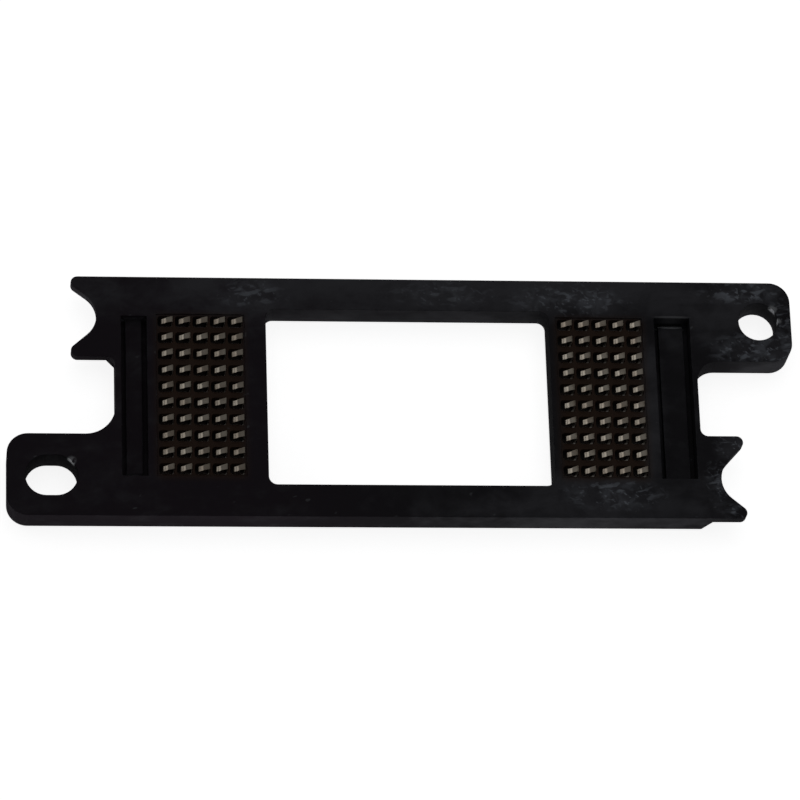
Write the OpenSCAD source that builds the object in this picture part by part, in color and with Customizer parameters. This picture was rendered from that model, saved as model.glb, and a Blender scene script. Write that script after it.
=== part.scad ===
// Spring-contact socket: a black moulded frame that carries two fields of bent
// C springs, one on each side of a central window. The springs stand out of both
// faces and join the pads of a flat chip package to the pads of a circuit board.
// Units are millimetres. +X runs along the length, +Z points out of the face that
// the package rests on. The origin lies under the middle of the socket, at the
// height of the lower contact tips.

/* [Contact grid] */
// Distance between neighbouring contacts, along X and along Y
contact_pitch = 1.0; // [0.95:0.01:1.2]
// Contacts in one row of a field
contact_columns = 5; // [3:1:6]
// Rows of contacts in a field
contact_rows = 10; // [4:1:10]
// Distance between the inner columns of the two fields
inner_gap = 19; // [15:0.1:24]

/* [Contact spring] */
// Thickness of the spring strip
strip_t = 0.06; // [0.04:0.01:0.08]
// Width of the spring arms
arm_w = 0.3; // [0.2:0.01:0.34]
// Extra width of the spring's back, both sides together
head_extra = 0.06; // [0.04:0.01:0.1]
// Distance from the grid point to the outer face of the spring's back
back_reach = 0.47; // [0.44:0.01:0.5]
// Distance from the grid point to the crest of the tip, away from the back
tip_reach = 0.08; // [0:0.01:0.12]
// Height of the free tips above each face of the housing
tip_standout = 0.25; // [0.15:0.01:0.3]
// Radius of the tip bend, at the middle of the strip
tip_bend_r = 0.17; // [0.1:0.01:0.2]
// Angle that the tip bend runs on past its crest
tip_curl = 55; // [30:1:70]
// Length of the straight end after the tip bend
tip_tail = 0.05; // [0.02:0.01:0.08]
// Radius of the shoulder between back and arm, at the middle of the strip
shoulder_r = 0.12; // [0.08:0.01:0.16]
// Slope of the arms
arm_slope = 35; // [20:1:45]
// Angle that the arms run at from the back, seen from above
arm_skew = 28; // [0:1:30]
// Height of the ledge that the spring's back stands on, above the housing's underside
ledge_h = 0.45; // [0.3:0.05:0.7]
// Clearance between the spring's back and its seat
seat_clearance = 0.01; // [0.005:0.005:0.02]

/* [Contact cavities] */
// Wall between neighbouring cavities in a row
column_web = 0.14; // [0.1:0.01:0.2]
// Wall between neighbouring rows of cavities
row_web = 0.32; // [0.24:0.01:0.4]
// Corner radius of a cavity
cavity_corner_r = 0.18; // [0.05:0.01:0.25]
// Distance that a cavity lies off its grid point, along Y
cavity_shift = 0.07; // [0:0.01:0.1]
// Depth of the shallow recess round each field, on both faces
field_recess = 0.1; // [0.05:0.01:0.2]
// Margin of the recess round the outer cavities
field_margin = 0.1; // [0.05:0.01:0.2]

/* [Frame] */
// Thickness of the housing
housing_t = 1.75; // [1.6:0.05:2.4]
// Height of the window, along Y
window_h = 10.7; // [8:0.1:13]
// Width of the long rails above and below the window
rail_w = 1.95; // [1.5:0.05:3]
// Corner radius of the window
window_corner_r = 0.5; // [0.2:0.1:1.5]
// Strip between the window and the left field
strip_left = 1.23; // [0.5:0.01:1.5]
// Strip between the window and the right field
strip_right = 0.39; // [0.2:0.01:1.5]

/* [Long pockets] */
// Length of the pockets, along Y
pocket_l = 9.75; // [6:0.05:10.5]
// Extra length of the right pocket, towards its ear
pocket_extra_right = 0.15; // [0:0.05:0.4]
// Width of the left pocket
pocket_w_left = 1.47; // [1.2:0.01:2]
// Width of the right pocket
pocket_w_right = 2.07; // [1.4:0.01:2.4]
// Wall between the left field's recess and its pocket
land_left = 0.52; // [0.3:0.01:1]
// Wall between the right field's recess and its pocket
land_right = 0.69; // [0.3:0.01:1]
// Wall between the left pocket and the end of the frame
end_wall_left = 0.35; // [0.15:0.01:0.6]
// Wall between the right pocket and the end of the frame
end_wall_right = 0.3; // [0.15:0.01:0.6]
// Depth of the grooves beside the bar
groove_depth = 1.1; // [0.8:0.05:1.2]
// Width of the grooves beside the left bar
groove_w_left = 0.27; // [0.2:0.01:0.4]
// Width of the grooves beside the right bar
groove_w_right = 0.33; // [0.2:0.01:0.4]
// Distance from the top face down to the bar
bar_drop = 0.65; // [0.4:0.05:0.7]
// Gap at the end of the bar that is next to the ear
bar_end_gap = 0.15; // [0.1:0.01:0.3]
// Size of the bevel on that end of the bar
bar_bevel = 0.22; // [0.1:0.01:0.3]

/* [Ears] */
// Width of an ear, along Y
ear_w = 4.95; // [4.6:0.05:5.5]
// Distance that the left ear stands out from the end of the frame
ear_reach_left = 6.15; // [5.6:0.05:7]
// Distance that the right ear stands out from the end of the frame
ear_reach_right = 5.65; // [5:0.05:7]
// Radius of the ears' outer corners
ear_corner_r = 1.2; // [0.5:0.1:1.8]
// Radius between the left ear and the end of the frame
ear_fillet_left = 1.7; // [0.5:0.1:2]
// Radius between the right ear and the end of the frame
ear_fillet_right = 1.2; // [0.5:0.1:2]
// Distance from the frame's long edges to the line of the screws
screw_inset = 2.43; // [2.2:0.01:2.6]
// Diameter of the round hole
hole_d = 2.3; // [1.8:0.1:2.6]
// Width of the slot
slot_w = 2.4; // [1.8:0.1:2.6]
// Length of the slot, end to end
slot_l = 2.95; // [2.8:0.05:3.6]
// Distance from the left ear's outer edge to the middle of the slot
slot_inset = 2.53; // [2.2:0.01:3]
// Distance from the right ear's outer edge to the middle of the hole
hole_inset = 1.91; // [1.6:0.01:3]

/* [Horns] */
// Thickness of the horns, which lie flush with the top face
horn_t = 0.6; // [0.4:0.05:1.2]
// Width across the left pair of horns, along Y
fork_w_left = 4.95; // [4.6:0.05:5.4]
// Width across the right pair of horns, along Y
fork_w_right = 5.05; // [4.6:0.05:5.4]
// Distance that the left horns stand out from the end of the frame
horn_reach_left = 2.5; // [2.3:0.05:2.9]
// Distance that the right horns stand out from the end of the frame
horn_reach_right = 2.42; // [2.3:0.01:2.9]
// Distance from the end of the frame to the middle of the half-round notch
notch_reach = 2.58; // [2.3:0.01:2.8]
// Radius of the half-round notch between the horns
notch_r = 1.53; // [1.2:0.01:1.6]
// Radius of the horns' tips
horn_tip_r = 0.38; // [0.3:0.01:0.45]
// Radius between a horn and the end of the frame
horn_fillet_r = 0.45; // [0.1:0.05:0.8]
// Reach of the sloped foot that carries the horns, below them
horn_foot = 0.5; // [0.2:0.05:0.9]

/* [Hidden] */
LEFT = -1;
RIGHT = 1;
SIDES = [LEFT, RIGHT];
function side_name(side) = side == LEFT ? "left" : "right";
function row_name(side, row) =
    str("contacts_", side_name(side), "_row_", row < 10 ? "0" : "", row);

$fn = 48;
// Overshoot of a cut past the face that it leaves through
past = 0.5;

// Heights
housing_z = tip_standout;
top_z = housing_z + housing_t;
mid_z = housing_z + housing_t / 2;

// Cavities and fields
cavity_l = contact_pitch - column_web;
cavity_w = contact_pitch - row_web;
field_l = (contact_columns - 1) * contact_pitch + cavity_l + 2 * field_margin;
field_w = (contact_rows - 1) * contact_pitch + cavity_w + 2 * field_margin;
field_centre = (inner_gap + (contact_columns - 1) * contact_pitch) / 2;

// Distances of each end's features from the middle of the grid, outwards
function of_side(side, left, right) = side == LEFT ? left : right;
function window_edge(side) = field_centre - field_l / 2 - of_side(side, strip_left, strip_right);
function pocket_w(side) = of_side(side, pocket_w_left, pocket_w_right);
function pocket_start(side) = field_centre + field_l / 2 + of_side(side, land_left, land_right);
function frame_end(side) =
    pocket_start(side) + pocket_w(side) + of_side(side, end_wall_left, end_wall_right);
function ear_end(side) = frame_end(side) + of_side(side, ear_reach_left, ear_reach_right);
// The two ears differ in length, so the grid lies a little off the socket's middle
grid_x = (ear_end(LEFT) - ear_end(RIGHT)) / 2;
function horn_end(side) = frame_end(side) + of_side(side, horn_reach_left, horn_reach_right);
function groove_w(side) = of_side(side, groove_w_left, groove_w_right);

// Widths
frame_w = window_h + 2 * rail_w;
ear_edge = frame_w / 2 - ear_w;
function fork_w(side) = of_side(side, fork_w_left, fork_w_right);
function fork_edge(side) = frame_w / 2 - fork_w(side);
function ear_fillet_r(side) = of_side(side, ear_fillet_left, ear_fillet_right);
function pocket_end(side) = pocket_l / 2 + of_side(side, 0, pocket_extra_right);
screw_y = frame_w / 2 - screw_inset;

// Spring, in its own plane: u runs from the grid point to the back, v is the height
// above the middle of the housing
head_w = arm_w + head_extra;
back_u = back_reach - strip_t / 2;
crest_v = housing_t / 2 + tip_standout - strip_t / 2;
arm_l = (back_u - shoulder_r + tip_reach + (shoulder_r - tip_bend_r) * sin(arm_slope)) / cos(arm_slope);
back_v = crest_v - tip_bend_r - arm_l * sin(arm_slope) - (shoulder_r - tip_bend_r) * cos(arm_slope);
ledge_v = ledge_h - housing_t / 2;
// Where the arms leave the back, and how far the back lies off the crest along Y
root_u = back_u - shoulder_r;
back_y = (root_u + tip_reach) * tan(arm_skew);

// ---- Spring contacts ----

// Strip bent to radius r about the origin, from one angle to another
module bent_strip(r, from, to) {
    reach = 2 * r;
    intersection() {
        difference() {
            circle(r + strip_t / 2);
            circle(r - strip_t / 2);
        }
        polygon([
            [0, 0],
            reach * [cos(from), sin(from)],
            reach * [cos((from + to) / 2), sin((from + to) / 2)],
            reach * [cos(to), sin(to)]
        ]);
    }
}

// Upper half of the spring: shoulder, arm, tip bend and tail
module spring_half() {
    translate([back_u - shoulder_r, back_v])
        bent_strip(shoulder_r, 0, 90 - arm_slope);
    translate([-tip_reach, crest_v - tip_bend_r]) {
        rotate(-arm_slope)
            translate([0, tip_bend_r - strip_t / 2])
                square([arm_l, strip_t]);
        bent_strip(tip_bend_r, 90 - arm_slope, 90 + tip_curl);
        rotate(tip_curl)
            translate([-tip_tail, tip_bend_r - strip_t / 2])
                square([tip_tail, strip_t]);
    }
}

// Profile of the back alone
module back_profile() {
    translate([back_u - strip_t / 2, -back_v])
        square([strip_t, 2 * back_v]);
}

// Profile of the wide head: the back above its ledge
module head_profile() {
    translate([back_u - strip_t / 2, ledge_v])
        square([strip_t, back_v - ledge_v]);
}

// Both bent halves, across more than their width
module bent_halves() {
    linear_extrude(2 * contact_pitch, center = true)
        union() {
            spring_half();
            mirror([0, 1])
                spring_half();
        }
}

// Outline of the blank seen from above: straight at the back, then skewed arms
module blank_outline(back_w) {
    far_u = -tip_reach - 2 * tip_bend_r;
    far_y = -(far_u + tip_reach) * tan(arm_skew);
    translate([root_u, back_y - back_w / 2])
        square([back_reach + past - root_u, back_w]);
    polygon([
        [root_u, back_y - arm_w / 2],
        [root_u, back_y + arm_w / 2],
        [far_u, arm_w / 2 - far_y],
        [far_u, -arm_w / 2 - far_y]
    ]);
}

// One spring at the origin, its grid point on the Z axis
module spring_contact() {
    translate([0, back_y, 0])
        rotate([90, 0, 0]) {
            linear_extrude(arm_w, center = true)
                back_profile();
            linear_extrude(head_w, center = true)
                head_profile();
        }
    for (half = [0, 1])
        intersection() {
            rotate([90, 0, 0])
                bent_halves();
            translate([0, 0, half == 0 ? 0 : -housing_t])
                linear_extrude(housing_t)
                    blank_outline(half == 0 ? head_w : arm_w);
        }
}

// One row of springs of one field
module contact_row(side, row) {
    color([0.72, 0.58, 0.33])
        translate([grid_x, 0, 0])
            for (column = [1 : contact_columns])
                translate(grid_point(side, column, row))
                    spring_contact();
}

function grid_point(side, column, row) = [
    side * field_centre + (column - (contact_columns + 1) / 2) * contact_pitch,
    ((contact_rows + 1) / 2 - row) * contact_pitch,
    mid_z
];

// ---- Housing ----

module rounded_rectangle(size, r) {
    square(size - [2 * r, 0], center = true);
    square(size - [0, 2 * r], center = true);
    for (x = [-1, 1], y = [-1, 1])
        translate([x * (size.x / 2 - r), y * (size.y / 2 - r)])
            circle(r);
}

// Places a shape at one end of the frame: it is drawn with +X outwards and the ear
// towards +Y, and the left end is the right end turned half round
module at_end(side) {
    rotate(side == LEFT ? 180 : 0)
        children();
}

// Material that fills an inner corner to a radius; the corner is at the origin and
// the fill lies towards +X and -Y
module corner_fill(r) {
    difference() {
        translate([-past, -r])
            square([r + past, r + past]);
        translate([r, -r])
            circle(r);
    }
}

module ear_outline(side) {
    root = frame_end(side) - past;
    reach = ear_end(side) - root;
    translate([root, ear_edge])
        square([reach - ear_corner_r, ear_w]);
    translate([root, ear_edge + ear_corner_r])
        square([reach, ear_w - 2 * ear_corner_r]);
    for (y = [ear_edge + ear_corner_r, frame_w / 2 - ear_corner_r])
        translate([ear_end(side) - ear_corner_r, y])
            circle(ear_corner_r);
    translate([frame_end(side), ear_edge])
        corner_fill(ear_fillet_r(side));
}

module ear_hole() {
    translate([ear_end(RIGHT) - hole_inset, screw_y])
        circle(d = hole_d);
}

module ear_slot() {
    translate([ear_end(LEFT) - slot_inset, screw_y]) {
        square([slot_l - slot_w, slot_w], center = true);
        for (x = [-1, 1])
            translate([x * (slot_l - slot_w) / 2, 0])
                circle(d = slot_w);
    }
}

// Direction in which the straight flank between the notch and a horn's tip touches
// both circles, seen from the middle of the notch; turn is +1 or -1 for its side
function flank_angle(notch, tip, turn) =
    atan2(tip.y - notch.y, tip.x - notch.x)
    + turn * acos((notch_r + horn_tip_r) / norm(tip - notch));

// Pair of horns with the half-round notch between them
module fork_outline(side) {
    root = frame_end(side) - past;
    notch = [frame_end(side) + notch_reach, -screw_y];
    tips = [
        [horn_end(side) - horn_tip_r, horn_tip_r - frame_w / 2],
        [horn_end(side) - horn_tip_r, -fork_edge(side) - horn_tip_r]
    ];
    angles = [flank_angle(notch, tips[0], -1), flank_angle(notch, tips[1], 1)];
    rays = [for (a = angles) [cos(a), sin(a)]];
    difference() {
        union() {
            polygon([
                [root, -frame_w / 2],
                [tips[0].x, -frame_w / 2],
                tips[0],
                tips[0] - horn_tip_r * rays[0],
                notch + notch_r * rays[0],
                notch,
                notch + notch_r * rays[1],
                tips[1] - horn_tip_r * rays[1],
                tips[1],
                [tips[1].x, -fork_edge(side)],
                [root, -fork_edge(side)]
            ]);
            for (tip = tips)
                translate(tip)
                    circle(horn_tip_r);
            translate([frame_end(side), -fork_edge(side)])
                mirror([0, 1])
                    corner_fill(horn_fillet_r);
        }
        translate(notch)
            circle(notch_r);
    }
}

// Frame and ears, seen from above, with the window and the screw holes
module plate_outline() {
    difference() {
        union() {
            translate([-frame_end(LEFT), -frame_w / 2])
                square([frame_end(LEFT) + frame_end(RIGHT), frame_w]);
            for (side = SIDES)
                at_end(side)
                    ear_outline(side);
        }
        translate([(window_edge(RIGHT) - window_edge(LEFT)) / 2, 0])
            rounded_rectangle([window_edge(LEFT) + window_edge(RIGHT), window_h], window_corner_r);
        at_end(RIGHT)
            ear_hole();
        at_end(LEFT)
            ear_slot();
    }
}

module cavity_outline() {
    translate([0, cavity_shift])
        rounded_rectangle([cavity_l, cavity_w], cavity_corner_r);
}

// Slot for the spring's back, open to the cavity
module seat_outline(strip_w) {
    start = back_reach - 4 * strip_t;
    translate([start, back_y - strip_w / 2 - seat_clearance])
        square([back_reach + seat_clearance - start, strip_w + 2 * seat_clearance]);
}

// Everything cut for the springs of one field
module field_cuts(side) {
    centre = [side * field_centre, cavity_shift];
    for (z = [housing_z - past, top_z - field_recess])
        translate([centre.x, centre.y, z])
            linear_extrude(past + field_recess)
                square([field_l, field_w], center = true);
    for (column = [1 : contact_columns], row = [1 : contact_rows]) {
        point = grid_point(side, column, row);
        translate([point.x, point.y, housing_z]) {
            linear_extrude(housing_t)
                union() {
                    cavity_outline();
                    seat_outline(arm_w);
                }
            translate([0, 0, ledge_h])
                linear_extrude(housing_t - ledge_h)
                    seat_outline(head_w);
        }
    }
}

// Bar that stands in a pocket, drawn with its bevelled end towards +Y
module pocket_bar(side) {
    start = pocket_start(side) + groove_w(side);
    bar_w = pocket_w(side) - 2 * groove_w(side);
    bar_top = top_z - bar_drop;
    bar_foot = top_z - groove_depth - past;
    low_y = -pocket_l / 2 - past;
    high_y = pocket_end(side) - bar_end_gap;
    translate([start, 0, 0])
        rotate([90, 0, 90])
            linear_extrude(bar_w)
                polygon([
                    [low_y, bar_foot],
                    [high_y, bar_foot],
                    [high_y, bar_top - bar_bevel],
                    [high_y - bar_bevel, bar_top],
                    [low_y, bar_top]
                ]);
}

// Long pocket with its bar left standing
module pocket_cut(side) {
    at_end(side)
        difference() {
            translate([pocket_start(side), -pocket_l / 2, top_z - groove_depth])
                cube([pocket_w(side), pocket_l / 2 + pocket_end(side), groove_depth + past]);
            pocket_bar(side);
        }
}

// Sloped foot that carries the horns of one end, from the underside up to them
module horn_foot(side) {
    low = housing_z - top_z + horn_t;
    translate([frame_end(side), -fork_edge(side), 0])
        rotate([90, 0, 0])
            linear_extrude(fork_w(side))
                polygon([[-past, low], [0, low], [horn_foot, 0], [horn_foot, horn_t / 2], [-past, horn_t / 2]]);
}

module housing() {
    color([0.1, 0.1, 0.11])
        translate([grid_x, 0, 0])
            difference() {
                union() {
                    translate([0, 0, housing_z])
                        linear_extrude(housing_t)
                            plate_outline();
                    for (side = SIDES)
                        translate([0, 0, top_z - horn_t])
                            at_end(side) {
                                linear_extrude(horn_t)
                                    fork_outline(side);
                                horn_foot(side);
                            }
                }
                for (side = SIDES) {
                    field_cuts(side);
                    pocket_cut(side);
                }
            }
}

housing();
for (side = SIDES)
    for (row = [1 : contact_rows])
        contact_row(side, row);
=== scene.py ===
"""Spring-contact socket: a black moulded frame with two fields of gold-plated C springs.

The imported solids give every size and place. The frame is their own skin with its
edges rounded as a mould rounds them, and the springs are bent here from flat strip.
"""

import math

import bmesh
import bpy
from mathutils import Matrix, Vector


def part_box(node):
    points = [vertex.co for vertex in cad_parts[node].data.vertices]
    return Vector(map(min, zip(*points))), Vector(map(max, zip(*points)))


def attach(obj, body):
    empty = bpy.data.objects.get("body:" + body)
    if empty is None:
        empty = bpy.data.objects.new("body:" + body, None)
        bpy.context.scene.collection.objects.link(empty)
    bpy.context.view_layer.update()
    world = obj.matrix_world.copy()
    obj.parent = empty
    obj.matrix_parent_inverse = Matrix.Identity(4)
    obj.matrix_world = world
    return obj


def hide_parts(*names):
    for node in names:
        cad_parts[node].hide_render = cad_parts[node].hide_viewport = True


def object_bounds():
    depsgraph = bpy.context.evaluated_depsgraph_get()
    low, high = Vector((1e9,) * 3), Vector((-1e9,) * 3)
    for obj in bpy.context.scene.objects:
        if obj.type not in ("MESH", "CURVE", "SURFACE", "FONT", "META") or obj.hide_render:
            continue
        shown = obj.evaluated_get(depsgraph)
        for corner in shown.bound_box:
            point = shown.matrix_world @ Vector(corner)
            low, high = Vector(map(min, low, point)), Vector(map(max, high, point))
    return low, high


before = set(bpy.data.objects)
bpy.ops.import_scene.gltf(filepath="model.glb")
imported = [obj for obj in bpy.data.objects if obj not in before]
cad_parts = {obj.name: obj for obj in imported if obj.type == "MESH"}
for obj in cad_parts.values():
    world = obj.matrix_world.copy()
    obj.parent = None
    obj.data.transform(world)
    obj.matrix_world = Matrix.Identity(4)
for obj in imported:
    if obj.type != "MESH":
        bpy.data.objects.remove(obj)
cad_low, cad_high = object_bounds()

MM = 0.001

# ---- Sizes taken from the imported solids, in metres ----

housing_low, housing_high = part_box("housing")
ROWS = sorted(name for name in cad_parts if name.startswith("contacts_"))
mid_z = (housing_low.z + housing_high.z) / 2
crest_z = cad_high.z - mid_z

# ---- The housing's depths and roundings, in metres ----

FIELD_RECESS = 0.1 * MM
BAR_DROP = 0.65 * MM
RECESS_RIM = 0.02 * MM
BAR_RIM = 0.04 * MM
OUTER_RIM = 0.05 * MM

# ---- The spring's own sizes, in metres, its grid point at the origin ----

PITCH = 1.0 * MM
COLUMNS = 5
STRIP_T = 0.06 * MM
STRIP_EDGE_R = 0.008 * MM

# The back, at the +X side, with the wider head that stands in the seat
BACK_REACH = 0.47 * MM
BACK_Y = 0.2027 * MM
SEAT_Y = 0.2127 * MM
HEAD_W = 0.36 * MM
LEDGE_H = 0.45 * MM
STEP_H = 0.02 * MM

# The arms, which slope from the shoulders to the tips
SHOULDER_R = 0.12 * MM
ARM_W = 0.3 * MM
ARM_SLOPE = math.radians(35)

# The tips, which bend back over a crest
TIP_REACH = 0.03 * MM
TIP_Y = -0.03 * MM
TIP_BEND_R = 0.23 * MM
TIP_CURL = math.radians(45)
TIP_TAIL = 0.03 * MM
TIP_CORNER = 0.025 * MM
TIP_CLEAR = 0.0005 * MM
CURL_SKEW = math.radians(8)

# What follows from them: _U is a place along X, _V a height over the frame's middle
BACK_U = BACK_REACH - STRIP_T / 2
ROOT_U = BACK_U - SHOULDER_R
TIP_V = crest_z - STRIP_T / 2 - TIP_CLEAR - TIP_BEND_R
BEND_STEP = SHOULDER_R - TIP_BEND_R
ARM_REACH = ROOT_U + TIP_REACH
ARM_L = (ARM_REACH + BEND_STEP * math.sin(ARM_SLOPE)) / math.cos(ARM_SLOPE)
ARM_SKEW = math.atan((BACK_Y - TIP_Y) / ARM_REACH)
BACK_V = TIP_V - ARM_L * math.sin(ARM_SLOPE) - BEND_STEP * math.cos(ARM_SLOPE)
LEDGE_V = LEDGE_H - (housing_high.z - housing_low.z) / 2

# How close two points or heights are to count as one, in metres
SAME_POINT = 1e-7
SAME_LINE = 2e-7
SAME_HEIGHT = 1e-6

# How far a face's normal may lean: along Z on a flat, and across it on an upright wall
FLAT_TILT = 0.99
UPRIGHT_TILT = 0.3


# ---- Selecting and shaping ----


def take_up(obj):
    """Makes obj the one selected and active object."""
    bpy.ops.object.select_all(action="DESELECT")
    obj.select_set(True)
    bpy.context.view_layer.objects.active = obj


def edit(obj):
    """Opens obj for modelling with nothing selected in it."""
    take_up(obj)
    bpy.ops.object.mode_set(mode="EDIT")
    bpy.ops.mesh.select_all(action="DESELECT")


def close_edit():
    """Goes back from modelling to the whole objects."""
    bpy.ops.object.mode_set(mode="OBJECT")


def pick_edges(obj, wanted):
    """Selects the edges that wanted(edge) accepts."""
    bpy.ops.mesh.select_mode(type="EDGE")
    bpy.ops.mesh.select_all(action="DESELECT")
    mesh = bmesh.from_edit_mesh(obj.data)
    for edge in mesh.edges:
        if wanted(edge):
            edge.select_set(True)
    bmesh.update_edit_mesh(obj.data)


def pick_points(obj, wanted):
    """Selects the points whose place wanted(place) accepts."""
    bpy.ops.mesh.select_mode(type="VERT")
    bpy.ops.mesh.select_all(action="DESELECT")
    mesh = bmesh.from_edit_mesh(obj.data)
    for point in mesh.verts:
        if wanted(point.co):
            point.select_set(True)
    mesh.select_flush(True)
    bmesh.update_edit_mesh(obj.data)


def finish_with(obj, kind, **settings):
    """Adds a modifier with its settings and applies it."""
    take_up(obj)
    modifier = obj.modifiers.new(kind.lower(), kind)
    for name, value in settings.items():
        setattr(modifier, name, value)
    bpy.ops.object.modifier_apply(modifier=modifier.name)


def smooth(obj, angle):
    """Smooth shading up to an angle, with the large flats kept flat."""
    take_up(obj)
    bpy.ops.object.shade_smooth_by_angle(angle=math.radians(angle))
    finish_with(obj, "WEIGHTED_NORMAL", keep_sharp=True, weight=100)


# ---- Frame ----


def rim_edge(height, facing):
    """Test for a sharp edge between a flat face at a height and an upright wall."""

    def wanted(edge):
        at_height = all(abs(point.co.z - height) <= SAME_HEIGHT for point in edge.verts)
        if len(edge.link_faces) != 2 or not at_height:
            return False
        tilts = sorted(face.normal.z * facing for face in edge.link_faces)
        upright_and_flat = abs(tilts[0]) < UPRIGHT_TILT and tilts[1] > FLAT_TILT
        return upright_and_flat and edge.is_convex

    return wanted


def frame_moulding():
    """The housing's skin, merged and cleaned, with every rim rounded."""
    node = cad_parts["housing"]
    moulding = bpy.data.objects.new("frame_moulding", node.data.copy())
    bpy.context.scene.collection.objects.link(moulding)
    edit(moulding)
    bpy.ops.mesh.select_all(action="SELECT")
    bpy.ops.mesh.remove_doubles(threshold=SAME_POINT)
    bpy.ops.mesh.dissolve_limited(angle_limit=math.radians(0.2))
    top, under = housing_high.z, housing_low.z
    for height, facing, width in (
        (top - FIELD_RECESS, 1, RECESS_RIM),
        (under + FIELD_RECESS, -1, RECESS_RIM),
        (top - BAR_DROP, 1, BAR_RIM),
        (top, 1, OUTER_RIM),
        (under, -1, OUTER_RIM),
    ):
        pick_edges(moulding, rim_edge(height, facing))
        bpy.ops.mesh.bevel(
            offset=width, segments=2, profile=0.5, affect="EDGES", clamp_overlap=True
        )
    close_edit()
    smooth(moulding, 32)
    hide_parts("housing")
    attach(moulding, "root")
    return moulding


# ---- Springs ----


def bend_on(centre_u, centre_v, angle, steps):
    """Carries the selected edge of the strip round a bend."""
    bpy.ops.mesh.spin(steps=steps, angle=angle, center=(centre_u, 0, centre_v), axis=(0, 1, 0))


def run_on(length, slope):
    """Carries the selected edge of the strip straight on."""
    move = (-length * math.cos(slope), 0, length * math.sin(slope))
    bpy.ops.mesh.extrude_region_move(TRANSFORM_OT_translate={"value": move})


def bend_half(spring, end):
    """Shoulder, arm, tip bend and tail at the upper (+1) or lower (-1) end of the back."""
    pick_points(spring, lambda at: abs(at.z - end * BACK_V) < SAME_HEIGHT)
    bend_on(ROOT_U, end * BACK_V, end * (math.pi / 2 - ARM_SLOPE), 4)
    run_on(ARM_L, end * ARM_SLOPE)
    bend_on(-TIP_REACH, end * TIP_V, end * (ARM_SLOPE + TIP_CURL), 7)
    run_on(TIP_TAIL, -end * TIP_CURL)
    bpy.ops.mesh.select_mode(type="VERT")
    bpy.ops.mesh.bevel(offset=TIP_CORNER, segments=2, affect="VERTICES")


def skew_arms(spring):
    """Slides each line across the arms along itself, the further out the more.

    Past the crest the curled tip runs on nearly straight, and the upper arm widens
    towards its head.
    """
    mesh = bmesh.from_edit_mesh(spring.data)
    reaches = sorted({round(point.co.x, 7) for point in mesh.verts if point.co.x < ROOT_U})
    for reach in reaches:
        from_crest = reach + TIP_REACH
        on_arm = max(from_crest, 0)
        widening = 1 + (HEAD_W / ARM_W - 1) * on_arm / ARM_REACH
        pick_points(spring, lambda at: abs(at.x - reach) < SAME_LINE and at.z > 0)
        bpy.ops.transform.resize(value=(1, widening, 1), center_override=(0, 0, 0))
        pick_points(spring, lambda at: abs(at.x - reach) < SAME_LINE)
        slide = (on_arm - ARM_REACH) * math.tan(ARM_SKEW)
        slide += min(from_crest, 0) * math.tan(CURL_SKEW)
        bpy.ops.transform.translate(value=(0, slide, 0))


def flat_back():
    """The flat strip of the spring's back, cut across at the step above its ledge."""
    bpy.ops.object.select_all(action="DESELECT")
    upright = (0, math.pi / 2, 0)
    bpy.ops.mesh.primitive_plane_add(size=1, location=(BACK_U, 0, 0), rotation=upright)
    strip = bpy.context.object
    strip.scale = (2 * BACK_V, ARM_W, 1)
    bpy.ops.object.transform_apply()
    edit(strip)
    for height in (LEDGE_V, LEDGE_V + STEP_H):
        bpy.ops.mesh.select_all(action="SELECT")
        bpy.ops.mesh.bisect(plane_co=(0, 0, height), plane_no=(0, 0, 1), threshold=SAME_POINT)
    return strip


def widen_head(spring):
    """Widens the back above the step into the head that stands in the seat."""
    step = LEDGE_V + STEP_H / 2
    pick_points(spring, lambda at: at.z > step and at.x > ROOT_U - SAME_HEIGHT)
    bpy.ops.transform.resize(value=(1, HEAD_W / ARM_W, 1), center_override=(0, 0, 0))


def one_spring():
    """A C spring bent from flat strip, with its wall, rounded edges and shading."""
    spring = flat_back()
    bend_half(spring, 1)
    bend_half(spring, -1)
    skew_arms(spring)
    widen_head(spring)
    bpy.ops.mesh.select_all(action="SELECT")
    bpy.ops.transform.translate(value=(0, BACK_Y, 0))
    bpy.ops.mesh.remove_doubles(threshold=SAME_POINT)
    bpy.ops.mesh.normals_make_consistent(inside=False)
    close_edit()
    finish_with(spring, "SOLIDIFY", thickness=STRIP_T, offset=0, use_even_offset=True)
    finish_with(spring, "BEVEL", width=STRIP_EDGE_R, segments=1, angle_limit=math.radians(50))
    smooth(spring, 40)
    return spring


def spring_rows():
    """One row of springs, copied to the place of every packed row."""
    row = one_spring()
    finish_with(
        row, "ARRAY", count=COLUMNS, use_relative_offset=False,
        use_constant_offset=True, constant_offset_displace=(PITCH, 0, 0),
    )
    rows = []
    for name in ROWS:
        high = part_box(name)[1]
        copy = row.copy()
        copy.data = row.data.copy()
        copy.name = name.replace("contacts", "springs")
        bpy.context.scene.collection.objects.link(copy)
        copy.location = (
            high.x - BACK_REACH - (COLUMNS - 1) * PITCH,
            high.y - SEAT_Y - HEAD_W / 2,
            mid_z,
        )
        take_up(copy)
        bpy.ops.object.transform_apply()
        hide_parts(name)
        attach(copy, "root")
        rows.append(copy)
    bpy.data.objects.remove(row)
    return rows


# ---- Shader maths ----


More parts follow.
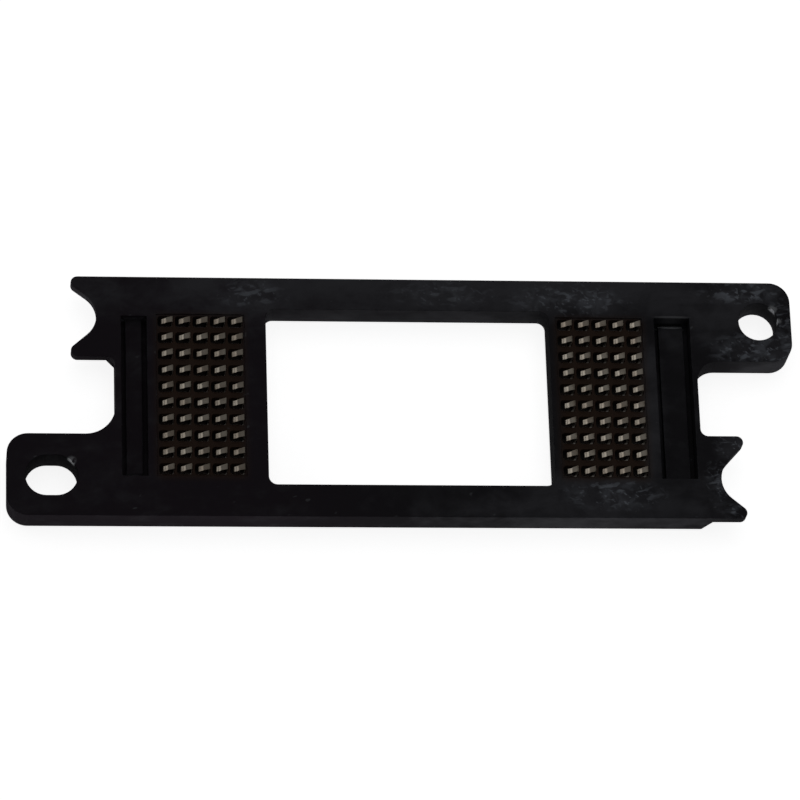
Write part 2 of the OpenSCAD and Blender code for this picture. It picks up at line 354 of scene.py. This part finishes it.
class Wire:
    """An output of a material's node, so that maths on it is written as a plain sum."""

    def __init__(self, finish, socket):
        self.finish = finish
        self.socket = socket

    def maths(self, operation, first, second=0.0):
        return self.finish.node("ShaderNodeMath", {"operation": operation}, {0: first, 1: second})

    def __add__(self, other):
        return self.maths("ADD", self, other)

    def __radd__(self, other):
        return self.maths("ADD", other, self)

    def __sub__(self, other):
        return self.maths("SUBTRACT", self, other)

    def __rsub__(self, other):
        return self.maths("SUBTRACT", other, self)

    def __mul__(self, other):
        return self.maths("MULTIPLY", self, other)

    def __rmul__(self, other):
        return self.maths("MULTIPLY", other, self)

    def __abs__(self):
        return self.maths("ABSOLUTE", self)

    def most(self, other):
        return self.maths("MAXIMUM", self, other)

    def least(self, other):
        return self.maths("MINIMUM", self, other)


# So tall that a region's height makes no difference, in millimetres
ANY_HEIGHT = 1000
BUMP_STRENGTH = 0.5


class Finish:
    """A material in the making, with the places on its piece in millimetres."""

    def __init__(self, name):
        self.material = bpy.data.materials.new(name)
        self.material.use_nodes = True
        self.nodes = self.material.node_tree.nodes
        self.shader = self.nodes["Principled BSDF"]
        place = self.node("ShaderNodeTexCoord", {}, {}, "Object")
        self.place = self.node(
            "ShaderNodeVectorMath", {"operation": "SCALE"}, {0: place, "Scale": 1 / MM}
        )

    def feed(self, socket, value):
        """Links a wire to the socket, or sets a value on it."""
        if isinstance(value, Wire):
            self.material.node_tree.links.new(value.socket, socket)
        else:
            socket.default_value = value

    def node(self, kind, settings, inputs, output=0):
        """Adds a node, first its settings and then the values or links of its sockets."""
        made = self.nodes.new(kind)
        for name, value in settings.items():
            setattr(made, name, value)
        for name, value in inputs.items():
            self.feed(made.inputs[name], value)
        return Wire(self, made.outputs[output])

    def set(self, **inputs):
        """Sets or links sockets of the shader; the names have _ in place of spaces."""
        for name, value in inputs.items():
            self.feed(self.shader.inputs[name.replace("_", " ")], value)

    def moved(self, turn=0.0, stretch=(1, 1, 1), shift=(0, 0, 0)):
        """The places, shifted, turned about Z by degrees and then stretched."""
        about_z = (0, 0, math.radians(turn))
        return self.node(
            "ShaderNodeMapping", {"vector_type": "TEXTURE"},
            {"Vector": self.place, "Location": shift, "Rotation": about_z, "Scale": stretch},
        )

    def noise(self, scale, detail, rough, where=None, warp=0.0):
        """Soft noise of about so many marks to the millimetre, twisted by warp."""
        return self.node(
            "ShaderNodeTexNoise", {"noise_dimensions": "3D"},
            {"Vector": where or self.place, "Scale": scale, "Detail": detail,
             "Roughness": rough, "Distortion": warp},
        )

    def between(self, value, low, high, bottom=0.0, top=1.0):
        """A soft step from bottom to top as value goes from low to high."""
        return self.node(
            "ShaderNodeMapRange", {"interpolation_type": "SMOOTHSTEP", "clamp": True},
            {"Value": value, "From Min": low, "From Max": high, "To Min": bottom, "To Max": top},
        )

    def part_of_place(self, axis):
        """The place along one axis, in millimetres."""
        return self.node("ShaderNodeSeparateXYZ", {}, {0: self.place}, axis)

    def patch(self, x, y, across, along, soft):
        """A soft oval region through the piece's whole height."""
        moved = self.moved(shift=(x, y, 0), stretch=(across, along, ANY_HEIGHT))
        far = self.node("ShaderNodeVectorMath", {"operation": "LENGTH"}, {0: moved}, "Value")
        return self.between(far, 1, 1 - soft)

    def regions(self, places, soft):
        """The strongest of several soft ovals at each point."""
        strongest = None
        for *oval, strength in places:
            one = self.patch(*oval, soft) * strength
            strongest = one if strongest is None else strongest.most(one)
        return strongest

    def blend(self, mask, colour, other):
        """Colour where the mask is 0, other where it is 1."""
        shades = [c if isinstance(c, Wire) else (*c, 1) for c in (colour, other)]
        return self.node(
            "ShaderNodeMix", {"data_type": "RGBA", "clamp_factor": True},
            {0: mask, 6: shades[0], 7: shades[1]}, 2,
        )

    def bump(self, height, distance):
        """A normal tilted by small heights, of up to distance in metres."""
        return self.node(
            "ShaderNodeBump", {},
            {"Height": height, "Distance": distance, "Strength": BUMP_STRENGTH}, "Normal",
        )


# ---- Shades, as linear red, green and blue ----

BLACK = (0.0140, 0.0130, 0.0158)
WARM_BLACK = (0.0165, 0.0112, 0.0165)
CLOUD_BLACK = (0.0120, 0.0110, 0.0135)
# Painted shade for the walls of the holes and the window
WALL_SHADE_BLACK = (0.006, 0.006, 0.007)
# Pale haze, partly a painted sheen
HAZE_SHEEN_GREY = (0.062, 0.062, 0.070)
FIELD_BROWN = (0.040, 0.0205, 0.0115)
SCUFF_GREY = (0.16, 0.172, 0.195)
SPECK_GREY = (0.15, 0.16, 0.17)
# Worn rims, partly a painted rim highlight
RIM_WEAR_HIGHLIGHT_GREY = (0.08, 0.085, 0.095)
# Painted glints and painted highlight lines
GLINT_WHITE = (0.75, 0.77, 0.8)
GOLD = (0.74, 0.67, 0.56)
TARNISHED_GOLD = (0.60, 0.50, 0.40)
STAIN_BROWN = (0.40, 0.31, 0.24)
# Painted shade towards the left of the springs
SHADE_BROWN = (0.08, 0.06, 0.045)
PAPER_LIGHT = (0.9, 0.9, 0.9)
PAPER_DARK = (0.86, 0.86, 0.86)
WHITE = (1, 1, 1)
NO_LIGHT = (0, 0, 0)

# ---- Where the finish changes, in millimetres ----

# Each row: middle x and y, reach along X and Y, and strength

# Worn places on the frame's top
SCUFFED = (
    (-8.6, 6.3, 2.6, 1.2, 1.0),
    (2.5, 6.4, 4.4, 1.1, 0.7),
    (9.8, 6.1, 4.8, 1.4, 1.1),
    (19.8, 6.7, 3.2, 1.0, 1.5),
    (22.0, 4.6, 1.1, 2.4, 1.1),
    (20.6, 3.1, 3.6, 1.4, 1.6),
    (19.3, -2.9, 1.9, 1.2, 1.7),
    (17.8, -5.0, 1.0, 1.8, 1.1),
    (18.8, -6.9, 1.4, 0.7, 1.1),
    (11.8, -5.9, 3.8, 1.2, 1.5),
)

# Regions of haze, partly a painted sheen where the light falls, most of them on the far rail and
# towards the right end
HAZE_AND_SHEEN = (
    (3.0, 7.2, 26.0, 3.8, 0.95),
    (-9.0, 6.6, 7.5, 3.0, 0.9),
    (-17.8, 6.8, 3.0, 2.0, 0.6),
    (18.2, 5.4, 3.8, 2.6, 0.85),
    (10.5, -6.3, 9.5, 3.2, 0.75),
    (21.0, 3.2, 3.8, 1.8, 0.8),
    (14.0, -0.5, 1.6, 7.0, 0.8),
    (19.3, -2.9, 2.2, 1.6, 0.8),
    (16.0, 6.0, 3.4, 2.0, 0.9),
    (15.8, 4.2, 1.6, 1.6, 0.7),
)

# Thin pale lines painted as highlights along the right pocket's far rim and its bar's bevelled
# end
HIGHLIGHT_LINES = (
    (15.65, 5.09, 1.3, 0.1, 0.09),
    (15.65, 4.76, 1.0, 0.16, 0.3),
)

# Pale spots painted as glints on the rims of the slot, the round hole and the right notch
GLINT_SPOTS = (
    (-18.98, -4.0, 0.34, 0.34, 1.0),
    (21.6, 5.62, 0.36, 0.36, 1.0),
    (21.9, 4.9, 0.24, 0.24, 1.0),
    (19.42, -3.9, 0.3, 0.3, 1.0),
)

# The round hole and the slot, whose walls get painted shade
SHADED_BORES = (
    (20.72, 4.87, 1.4, 1.4, 0.3),
    (-20.1, -4.87, 1.75, 1.45, 1.0),
)

# Middles: the grid's, left of the origin, the fields', from the grid's, and the window's
GRID_SHIFT = 0.11
FIELD_OFF = 11.5
WINDOW_X = 0.31

# Where a mark starts to show and where it is full, out from those middles or in height
FIELD_FADE_X = (2.9, 2.1)
FIELD_FADE_Y = (5.35, 4.6)
WINDOW_FADE_X = (8.4, 8.3)
WINDOW_FADE_Y = (5.6, 5.45)
UPPER_RIMS = (1.5, 1.8)

# The same for the sheet's two places under the springs, where a shadow is painted
SHADED_OFF = 11.6
SHADED_FADE_X = (3.2, 2.7)
SHADED_FADE_Y = (5.6, 5.1)


# ---- The black moulding's marks ----


def field_tint(plastic, x, y):
    """1 inside the two contact fields, fading at their edges."""
    off_field = abs(abs(x + GRID_SHIFT) - FIELD_OFF)
    return plastic.between(off_field, *FIELD_FADE_X) * plastic.between(abs(y), *FIELD_FADE_Y)


def haze_and_sheen(plastic, cloud):
    """Pale haze in drifts that run along the rails, partly a painted sheen that lightens the far
    rail and the right end.
    """
    flow = plastic.noise(0.45, 5, 0.6, plastic.moved(8, (1.6, 0.9, 1)), 0.5)
    hazed = plastic.regions(HAZE_AND_SHEEN, 0.75)
    return plastic.between(hazed * 0.55 + flow * 1.1 + cloud * 0.5, 0.72, 1.5)


def scuff_marks(plastic, faces_up):
    """Rubbed cloudy wear with short dashes and dabs in it."""
    worn = plastic.regions(SCUFFED, 0.85)
    rubbed = plastic.between(plastic.noise(1.3, 3, 0.55, warp=0.5), 0.42, 0.68)
    along = plastic.moved(8, (2.0, 0.8, 1))
    across = plastic.moved(-35, (1.2, 0.8, 1), (3, 7, 0))
    dashes = plastic.between(plastic.noise(2.4, 2, 0.5, along, 0.3), 0.56, 0.68)
    dabs = plastic.between(plastic.noise(3.8, 2, 0.5, across), 0.58, 0.7)
    return (worn * (rubbed * 0.35 + dashes.most(dabs) * 0.65) * faces_up).least(1.0)


def stray_specks(plastic):
    """A few small specks anywhere on the frame."""
    slanted = plastic.moved(20, (1.6, 1, 1), (11, 5, 0))
    return plastic.between(plastic.noise(2.3, 1, 0.4, slanted), 0.76, 0.82)


def painted_wall_shade(plastic, x, y, faces_up):
    """Painted shade on the walls of the window, most at its right end, and of the hole and the
    slot.
    """
    inside = plastic.between(abs(y), *WINDOW_FADE_Y)
    inside = inside * plastic.between(abs(x - WINDOW_X), *WINDOW_FADE_X)
    right_end = plastic.between(x, 7.9, 8.4) * 0.25 + 0.75
    return plastic.regions(SHADED_BORES, 0.1).most(inside * right_end) * (1 - faces_up)


def painted_glints(plastic, faces_up):
    """Painted glints on the upper rims, and two painted highlight lines at the right pocket."""
    near_top = plastic.between(plastic.part_of_place("Z"), *UPPER_RIMS)
    broken = plastic.between(plastic.noise(4, 2, 0.5), 0.35, 0.5)
    glints = plastic.regions(GLINT_SPOTS, 0.7) * near_top * broken * (1 - faces_up * 0.75)
    return glints.most(plastic.regions(HIGHLIGHT_LINES, 0.6))


def rim_wear_and_highlight(plastic, up):
    """The rounded rims that face half upwards, worn in places and lightened there, partly as a
    painted rim highlight.
    """
    on_rim = plastic.between(abs(up - 0.72), 0.24, 0.12)
    return on_rim * plastic.between(plastic.noise(0.9, 3, 0.6), 0.42, 0.62)


# ---- Materials ----


def moulded_plastic():
    """Black glass-filled moulding: fine grain, a hazy upper side partly painted as sheen, scuffs,
    worn rims partly painted as rim highlights, painted glints and painted shade on the walls.
    """
    plastic = Finish("moulded_plastic")
    x = plastic.part_of_place("X")
    y = plastic.part_of_place("Y")
    normal = plastic.node("ShaderNodeNewGeometry", {}, {}, "Normal")
    up = plastic.node("ShaderNodeSeparateXYZ", {}, {0: normal}, "Z")
    faces_up = plastic.between(up, 0.9, 0.99)
    cloud = plastic.noise(1.1, 3, 0.55, warp=0.3)
    grain = plastic.noise(14, 3, 0.6)
    fine = plastic.noise(45, 2, 0.5)
    scuffs = scuff_marks(plastic, faces_up)
    # Where shade is painted on the walls; the same mask makes them rougher
    walls = painted_wall_shade(plastic, x, y, faces_up)

    colour = plastic.blend(plastic.between(x, 4, -10), BLACK, WARM_BLACK)
    for mask, shade in (
        # Pale haze, partly a painted sheen on the far rail and the right end
        (haze_and_sheen(plastic, cloud), HAZE_SHEEN_GREY),
        (cloud * 0.3, CLOUD_BLACK),
        (field_tint(plastic, x, y) * 0.85, FIELD_BROWN),
        (scuffs, SCUFF_GREY),
        (stray_specks(plastic) * 0.3 * faces_up, SPECK_GREY),
        # Worn rims, partly painted rim highlights
        (rim_wear_and_highlight(plastic, up) * 0.6, RIM_WEAR_HIGHLIGHT_GREY),
        # Painted shade darkening the walls of the window, the hole and the slot
        (walls * 0.7, WALL_SHADE_BLACK),
        # Painted glints and painted highlight lines
        (painted_glints(plastic, faces_up), GLINT_WHITE),
    ):
        colour = plastic.blend(mask, colour, shade)

    dull_left = plastic.between(x, 2, -20) * (1 - faces_up)
    rough = 0.62 + grain * 0.1 + scuffs * 0.15 + walls * 0.35 + dull_left * 0.15
    height = grain * 0.6 + fine * 0.25 + scuffs * 0.5
    plastic.set(
        Base_Color=colour, Roughness=rough, Specular_IOR_Level=0.12,
        Normal=plastic.bump(height, 0.005 * MM),
    )
    return plastic.material


def spring_gold():
    """Satin gold plate over a stamped strip, tarnished unevenly, and darker towards the left with
    painted shade.
    """
    gold = Finish("spring_gold")
    tarnish = gold.between(gold.noise(0.8, 2, 0.5), 0.4, 0.7)
    stain = gold.between(gold.noise(5, 3, 0.6), 0.5, 0.75)
    draw = gold.noise(30, 2, 0.5, gold.moved(28, (6, 1, 1)))
    # Painted shade: the springs darker towards the left, as light falls from the right
    left_shade = gold.between(gold.part_of_place("X"), 8, -8, 0.1, 0.3)
    colour = gold.blend(tarnish * 0.7, GOLD, TARNISHED_GOLD)
    colour = gold.blend(stain * 0.4, colour, STAIN_BROWN)
    colour = gold.blend(left_shade, colour, SHADE_BROWN)
    gold.set(
        Base_Color=colour, Metallic=1.0, Roughness=0.23 + tarnish * 0.1 + draw * 0.12,
        Normal=gold.bump(draw, 0.004 * MM),
    )
    return gold.material


def floor_paper():
    """Matt white sheet that glows a little, as on a light table, with a shadow painted under the
    springs where the glow is left off.
    """
    paper = Finish("floor_paper")
    fibre = paper.noise(2, 3, 0.6)
    # Painted shadow: the glow is left off under the springs' fields
    off_middle = abs(abs(paper.part_of_place("X")) - SHADED_OFF)
    shaded = paper.between(off_middle, *SHADED_FADE_X)
    shaded = shaded * paper.between(abs(paper.part_of_place("Y")), *SHADED_FADE_Y)
    paper.set(
        Base_Color=paper.blend(fibre, PAPER_DARK, PAPER_LIGHT), Roughness=0.9,
        Specular_IOR_Level=0.1, Emission_Color=paper.blend(shaded, WHITE, NO_LIGHT),
        Emission_Strength=0.86,
    )
    return paper.material


def dress(obj, material):
    """Gives obj the one material."""
    obj.data.materials.clear()
    obj.data.materials.append(material)


# ---- Camera, floor and lights ----

# Where the camera looks and from how far, in metres, and its turns in degrees
AIM = Vector((-0.177, 0.161, 1.125)) * MM
DISTANCE = 270.73 * MM
AZIMUTH, ELEVATION, ROLL = -15.47, 67.42, 14.77
SENSOR_MM = 36
LENS_MM = 212.99

# Name, side and place in metres, and power in watts
SOFT_BOXES = (
    ("overhead_box", 0.9, (0.05, 0.3, 0.85), 1.0),
    ("back_left_box", 0.4, (-0.72, 0.36, 0.5), 0.25),
    ("front_fill_box", 0.4, (0.15, -0.9, 0.4), 0.3),
    ("right_low_box", 0.5, (0.92, 0.38, 0.24), 0.06),
    ("behind_box", 0.4, (0.1, 0.95, 0.3), 0.15),
)

FLOOR_SIDE = 4
ROOM_SHADE = (0.97, 0.98, 1.0, 1)
ROOM_STRENGTH = 0.08


def aim_camera():
    """Long lens, high in front and a little to the left, turned about its own axis."""
    camera = bpy.data.objects.new("camera", bpy.data.cameras.new("camera"))
    bpy.context.scene.collection.objects.link(camera)
    azimuth, elevation, roll = (math.radians(turn) for turn in (AZIMUTH, ELEVATION, ROLL))
    back = Vector((
        math.sin(azimuth) * math.cos(elevation),
        -math.cos(azimuth) * math.cos(elevation),
        math.sin(elevation),
    ))
    camera.location = AIM + back * DISTANCE
    camera.rotation_mode = "QUATERNION"
    level = (-back).to_track_quat("-Z", "Y").to_matrix()
    camera.rotation_quaternion = (Matrix.Rotation(roll, 3, back) @ level).to_quaternion()
    camera.data.sensor_width = SENSOR_MM
    camera.data.lens = LENS_MM
    camera.data.clip_start = 0.01
    bpy.context.scene.camera = camera


def soft_light(name, side, place, power):
    """A square soft box that looks at the socket."""
    light = bpy.data.objects.new(name, bpy.data.lights.new(name, "AREA"))
    light.data.shape = "SQUARE"
    light.data.size = side
    light.data.energy = power
    light.location = place
    light.rotation_mode = "QUATERNION"
    light.rotation_quaternion = (-Vector(place)).to_track_quat("-Z", "Y")
    bpy.context.scene.collection.objects.link(light)


def pale_floor():
    """The sheet that the socket lies on, which isn't mirrored in it."""
    bpy.ops.object.select_all(action="DESELECT")
    bpy.ops.mesh.primitive_plane_add(size=FLOOR_SIDE, location=(0, 0, 0))
    floor = bpy.context.object
    floor.name = "floor"
    floor.visible_glossy = False
    dress(floor, floor_paper())


def surroundings():
    """A dim, even room round the lights."""
    world = bpy.data.worlds.new("room")
    world.use_nodes = True
    background = world.node_tree.nodes["Background"]
    background.inputs["Color"].default_value = ROOM_SHADE
    background.inputs["Strength"].default_value = ROOM_STRENGTH
    bpy.context.scene.world = world
    bpy.context.scene.view_settings.view_transform = "Standard"


# ---- The whole scene ----

aim_camera()
surroundings()
pale_floor()
for box in SOFT_BOXES:
    soft_light(*box)

moulding = frame_moulding()
dress(moulding, moulded_plastic())
gold = spring_gold()
for row in spring_rows():
    dress(row, gold)
